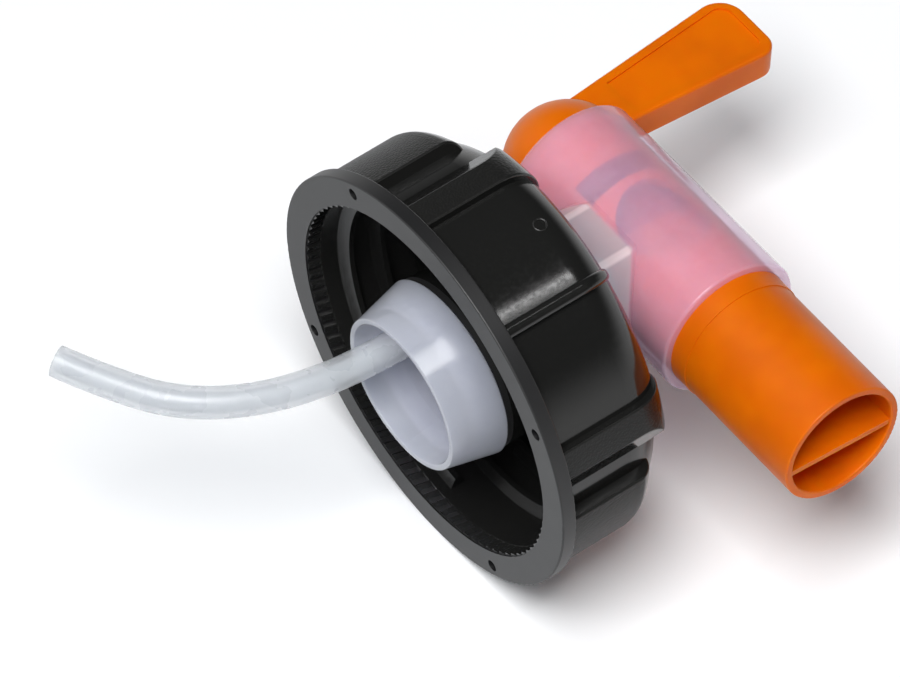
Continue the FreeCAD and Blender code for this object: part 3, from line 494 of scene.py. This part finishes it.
def route_mesh(name: str, points: list[Vector], closed: bool = False) -> bpy.types.Mesh:
    """Joins points with edges.

    Args:
        name: the mesh's name.
        points: the points in order.
        closed: joins the last one to the first.

    Returns:
        The mesh.
    """
    edges = [(index, index + 1) for index in range(len(points) - 1)]
    if closed:
        edges.append((len(points) - 1, 0))
    mesh = bpy.data.meshes.new(name)
    mesh.from_pydata([tuple(point) for point in points], edges, [])
    return mesh


def join_piece(
    name: str, mesh: bpy.types.Mesh, material: bpy.types.Material, body: Body
) -> bpy.types.Object:
    """Adds a finished mesh to the scene as a piece of the object.

    Args:
        name: the piece's name.
        mesh: its mesh, in the row frame.
        material: its finish.
        body: what it rides on.

    Returns:
        The piece.
    """
    mesh.name = name
    mesh.materials.clear()
    mesh.materials.append(material)
    piece = bpy.data.objects.new(name, mesh)
    bpy.context.scene.collection.objects.link(piece)
    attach(piece, body.value)
    LOG.info("added %s on %s", name, body.value)
    return piece


@dataclass
class ScrewCap:
    """The black cap, its gasket and washer, and the small ring moulded on its side."""

    # The ring lies on a smooth panel: its turn from +X towards +Z, and its height along the axis.
    ring_turn_deg: float = 193.4
    ring_place_mm: float = -17.6
    ring_radius_mm: float = 1.0
    ring_bead_mm: float = 0.16
    ring_points: int = 40
    bead_sides: int = 10
    wall_mm: float = 33.5

    def build(self) -> None:
        """Dresses the nodes and adds the ring mark."""
        black = BlackPolypropylene().build()
        rubber = GasketRubber().build()
        dress("screw_cap", black)
        dress("canister_gasket", rubber)
        dress("swivel_washer", rubber)
        tree = sweep_tree("ring bead", black, self.bead_sides)
        route = route_mesh("ring_route", self.ring_route(), closed=True)
        ring = solve_tree(tree, {"Section radius": self.ring_bead_mm * MM}, route)
        join_piece("side_ring_mark", ring, black, Body.CAP)

    def ring_route(self) -> list[Vector]:
        """Draws the ring's circle on the cap's wall."""
        turn = math.radians(self.ring_turn_deg)
        outward = Vector((math.cos(turn), 0.0, math.sin(turn)))
        along = Vector((0.0, 1.0, 0.0))
        side = along.cross(outward)
        centre = outward * (self.wall_mm * MM) + along * (self.ring_place_mm * MM)
        steps = [2 * math.pi * index / self.ring_points for index in range(self.ring_points)]
        radius = self.ring_radius_mm * MM
        return [centre + radius * (math.cos(step) * side + math.sin(step) * along) for step in steps]


@dataclass
class TapBody:
    """The milky moulding with barrel, neck and snap collar."""

    finish: MilkyPlastic = field(
        default_factory=lambda: MilkyPlastic(
            name="moulded natural polypropylene",
            thin_haze_and_plug_light="#DAC5DF",
            thick_haze="#C2C6CF",
            thin_tint="#FCF0FA",
            thick_tint="#F7F5F9",
            thin=0.25,
            thick=0.55,
            roughness=0.12,
        )
    )

    def build(self) -> None:
        """Dresses the node."""
        dress("tap_body", self.finish.build())


@dataclass
class ValvePlug:
    """The orange moulding with lever, head, plug and spout."""

    finish: OrangePolyethylene = field(default_factory=OrangePolyethylene)

    def build(self) -> None:
        """Dresses the node."""
        dress("valve_plug", self.finish.build())


@dataclass
class AirTube:
    """The bent tube, a hollow mesh along one smooth spline."""

    outer_mm: float = 2.6
    wall_mm: float = 1.0
    sides: int = 40
    # Edges sharper than this stay crisp: only those of the tube's two ends are.
    crisp_deg: float = 50.0
    spline_order: int = 3
    spline_steps: int = 12
    route_mm: tuple[tuple[float, float, float], ...] = (
        (0.0, -20.0, 8.15),
        (0.0, -8.2, 8.15),
        (-1.2, 3.2, 7.7),
        (-1.05, 13.05, 8.9),
        (-1.55, 24.0, 12.1),
        (-2.25, 33.65, 18.45),
        (-3.4, 40.2, 27.6),
        (-4.35, 44.2, 35.1),
    )
    exit_mm: tuple[float, float, float] = (0.0, -12.0, 8.15)
    finish: MilkyPlastic = field(
        default_factory=lambda: MilkyPlastic(
            name="extruded natural polyethylene",
            thin_haze_and_plug_light="#D6D8DB",
            thick_haze="#D6D9DB",
            thin_tint="#F8F9FB",
            thick_tint="#F8F9FB",
            thin=0.3,
            thick=0.36,
            roughness=0.24,
        )
    )

    def route(self) -> list[Vector]:
        """Reads the points of the route's smooth spline."""
        curve = bpy.data.curves.new("air_tube_route", "CURVE")
        curve.dimensions = "3D"
        spline = curve.splines.new("NURBS")
        spline.points.add(len(self.route_mm) - 1)
        for point, place in zip(spline.points, self.route_mm):
            point.co = (*(part * MM for part in place), 1.0)
        spline.order_u = self.spline_order
        spline.use_endpoint_u = True
        spline.resolution_u = self.spline_steps
        holder = bpy.data.objects.new("air_tube_route", curve)
        bpy.context.scene.collection.objects.link(holder)
        evaluated = holder.evaluated_get(bpy.context.evaluated_depsgraph_get())
        line = bpy.data.meshes.new_from_object(evaluated)
        points = [vertex.co.copy() for vertex in line.vertices]
        bpy.data.objects.remove(holder)
        return points

    def build(self) -> None:
        points = self.route()
        material = self.finish.build()
        tree = sweep_tree("air tube wall", material, self.sides)
        values = {"Section radius": self.outer_mm * MM}
        skin = solve_tree(tree, values, route_mesh("air_tube_line", points), self.wall_mm * MM)
        skin.set_sharp_from_angle(angle=math.radians(self.crisp_deg))
        piece = join_piece("air_tube_skin", skin, material, Body.TAP)
        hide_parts("air_tube")


@dataclass(frozen=True)
class Lamp:
    """A soft box that faces the object."""

    name: str
    # Way from the object to the lamp, and how far it hangs, in metres.
    way: tuple[float, float, float]
    distance: float
    # Side along the cap's axis and side across it.
    size: tuple[float, float]
    watts: float


@dataclass
class Studio:
    """Table, lights, world and camera."""

    # The table just clears the cap's rim, which is 36 mm in radius.
    table_place_mm: float = 36.02
    table_half_m: float = 0.4
    # Past the tap and its shadow the table melts into the white behind it.
    table_fade_m: tuple[float, float] = (0.15, 0.32)
    camera_place: tuple[float, float, float] = (-1.26686, 0.56370, -0.83181)
    camera_turn_deg: tuple[float, float, float] = (129.8539, 36.4520, -87.9212)
    lens_mm: float = 419.485
    sensor_mm: float = 36.0
    sight_m: float = 10.0
    # What the lamps face: a point on the cap's axis.
    aim: tuple[float, float, float] = (0.0, -0.02, 0.0)
    table_colour: str = "#F7F8F9"
    table_glow: float = 0.05
    room_dark: str = "#303133"
    room_pale: str = "#CCD2DB"
    room_strength: float = 0.42
    # Parts of a unit direction: the room turns pale over these heights (-X is up), and dark over
    # these depths (-Y is behind the cap).
    room_above: tuple[float, float] = (0.1, -0.4)
    room_behind: tuple[float, float] = (0.1, -0.25)
    lamps: tuple[Lamp, ...] = (
        Lamp("strip", (-0.85, -0.36, -0.39), 0.8, (0.16, 0.022), 0.22),
        Lamp("overhead", (-0.90, 0.30, -0.24), 1.6, (0.85, 0.85), 27.7),
        Lamp("side", (-0.44, 0.40, 0.80), 1.0, (0.05, 0.05), 0.22),
    )

    def build(self) -> None:
        """Makes everything that isn't the object."""
        self.add_table()
        self.add_world()
        self.add_camera()
        for lamp in self.lamps:
            self.add_lamp(lamp)

    def add_table(self) -> None:
        """Lays a pale table top that fades out and can be seen through from below."""
        half, level = self.table_half_m, self.table_place_mm * MM
        mesh = bpy.data.meshes.new("table_top")
        corners = [(level, -half, -half), (level, -half, half), (level, half, half), (level, half, -half)]
        mesh.from_pydata(corners, [], [(0, 1, 2, 3)])
        table = bpy.data.objects.new("table_top", mesh)
        bpy.context.scene.collection.objects.link(table)
        material, tree = blank_material("pale studio table")
        rays = add_node(tree, "ShaderNodeLightPath").outputs
        looks = {0: rays["Is Camera Ray"], 1: rays["Is Transmission Ray"]}
        seen = add_node(tree, "ShaderNodeMath", looks, operation="MAXIMUM")
        seen = add_node(tree, "ShaderNodeMath", {0: seen, 1: rays["Is Glossy Ray"]}, operation="MAXIMUM")
        glow = add_node(tree, "ShaderNodeMath", {0: seen, 1: self.table_glow}, operation="MULTIPLY")
        glow = add_node(tree, "ShaderNodeEmission", {"Color": WHITE, "Strength": glow})
        matt = add_node(tree, "ShaderNodeBsdfDiffuse", {"Color": linear(self.table_colour)})
        lit = add_node(tree, "ShaderNodeAddShader", {0: matt, 1: glow})
        below = add_node(tree, "ShaderNodeNewGeometry").outputs["Backfacing"]
        place = add_node(tree, "ShaderNodeTexCoord").outputs["Object"]
        away = add_node(tree, "ShaderNodeVectorMath", {0: place}, operation="LENGTH").outputs["Value"]
        start, end = self.table_fade_m
        far = add_node(tree, "ShaderNodeMapRange", {0: away, 1: start, 2: end}, **SMOOTH)
        gone = add_node(tree, "ShaderNodeMath", {0: below, 1: far}, operation="MAXIMUM")
        clear = add_node(tree, "ShaderNodeBsdfTransparent")
        both = add_node(tree, "ShaderNodeMixShader", {0: gone, 1: lit, 2: clear})
        add_node(tree, "ShaderNodeOutputMaterial", {"Surface": both})
        mesh.materials.append(material)

    def add_world(self) -> None:
        """Surrounds the table with a room that is dark low down and behind the cap's back, else pale.

        Gloss and glass see its pale and low parts as white, and the camera sees all of it as white.
        """
        world = bpy.data.worlds.new("studio")
        world.use_nodes = True
        tree = world.node_tree
        tree.nodes.clear()
        way = add_node(tree, "ShaderNodeTexCoord").outputs["Generated"]
        way = add_node(tree, "ShaderNodeSeparateXYZ", {0: way}).outputs
        start, end = self.room_above
        above = add_node(tree, "ShaderNodeMapRange", {0: way["X"], 1: start, 2: end}, **SMOOTH)
        start, end = self.room_behind
        behind = add_node(tree, "ShaderNodeMapRange", {0: way["Y"], 1: start, 2: end, 4: above}, **SMOOTH)
        dark, pale = linear(self.room_dark), linear(self.room_pale)
        tone = add_node(tree, "ShaderNodeMix", {0: behind, 6: pale, 7: dark}, data_type="RGBA").outputs[2]
        tone = add_node(tree, "ShaderNodeMix", {0: above, 6: dark, 7: tone}, data_type="RGBA").outputs[2]
        room = add_node(tree, "ShaderNodeBackground", {"Color": tone, "Strength": self.room_strength})
        tone = add_node(tree, "ShaderNodeMix", {0: behind, 6: WHITE, 7: dark}, data_type="RGBA").outputs[2]
        rays = add_node(tree, "ShaderNodeLightPath").outputs
        tones = {0: rays["Is Camera Ray"], 6: tone, 7: WHITE}
        tone = add_node(tree, "ShaderNodeMix", tones, data_type="RGBA").outputs[2]
        backdrop = add_node(tree, "ShaderNodeBackground", {"Color": tone, "Strength": 1.0})
        looks = {0: rays["Is Camera Ray"], 1: rays["Is Transmission Ray"]}
        seen = add_node(tree, "ShaderNodeMath", looks, operation="MAXIMUM")
        seen = add_node(tree, "ShaderNodeMath", {0: seen, 1: rays["Is Glossy Ray"]}, operation="MAXIMUM")
        both = add_node(tree, "ShaderNodeMixShader", {0: seen, 1: room, 2: backdrop})
        add_node(tree, "ShaderNodeOutputWorld", {"Surface": both})
        bpy.context.scene.world = world

    def add_camera(self) -> None:
        """Sets the camera where the photograph was taken from."""
        data = bpy.data.cameras.new("camera")
        data.lens = self.lens_mm
        data.sensor_width = self.sensor_mm
        data.clip_end = self.sight_m
        camera = bpy.data.objects.new("camera", data)
        camera.location = self.camera_place
        camera.rotation_euler = Euler([math.radians(turn) for turn in self.camera_turn_deg])
        bpy.context.scene.collection.objects.link(camera)
        bpy.context.scene.camera = camera

    def add_lamp(self, lamp: Lamp) -> None:
        """Hangs a lamp.

        Args:
            lamp: its facts.
        """
        data = bpy.data.lights.new(lamp.name, "AREA")
        data.shape = "RECTANGLE"
        data.size, data.size_y = lamp.size
        data.energy = lamp.watts
        way = Vector(lamp.way).normalized()
        hung = bpy.data.objects.new(lamp.name, data)
        hung.location = Vector(self.aim) + way * lamp.distance
        hung.rotation_euler = way.to_track_quat("Z", "Y").to_euler()
        bpy.context.scene.collection.objects.link(hung)


def main() -> None:
    """Builds the studio and dresses the tap."""
    logging.basicConfig(level=logging.INFO)
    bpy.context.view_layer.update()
    bpy.context.scene.view_settings.view_transform = "Standard"
    for part in (Studio(), AirTube(), ScrewCap(), TapBody(), ValvePlug()):
        part.build()
        LOG.info("built %s", type(part).__name__)


if __name__ == "__main__":
    main()
